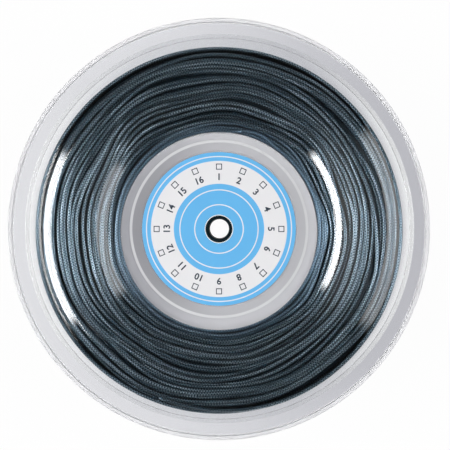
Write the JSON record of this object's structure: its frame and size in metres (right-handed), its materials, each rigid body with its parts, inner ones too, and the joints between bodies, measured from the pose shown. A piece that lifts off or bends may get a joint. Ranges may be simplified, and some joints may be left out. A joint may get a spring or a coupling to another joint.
{
  "type": "string reel",
  "caption": "Clear flanged plastic reel of racket string with a hollow hub barrel, a spindle tube through it, a round label and a filled winding.",
  "frame": {"origin": "centre of the reel's base, the rear flange's rim, as it lies flat", "axes": "+Z along the reel's axis towards the labelled front flange, +Y towards the label's top, +X to its right"},
  "size_m": [0.125, 0.125, 0.054],
  "materials": {
    "clear_plastic": "clear moulded polystyrene, glossy",
    "dark_plastic": "dark blue-grey moulded plastic, satin",
    "label_paper": "printed film label, sky blue and pale grey, semi-gloss",
    "string": "dark slate-grey monofilament with a rough, finely dented surface"
  },
  "bodies": {
    "root": {"front_flange": "clear_plastic", "rear_flange": "clear_plastic", "hub_barrel": "clear_plastic", "spindle_tube": "dark_plastic", "front_label": "label_paper", "string_start": "string", "winding_core": "string", "winding_outer_layer": "string"}
  },
  "joints": []
}
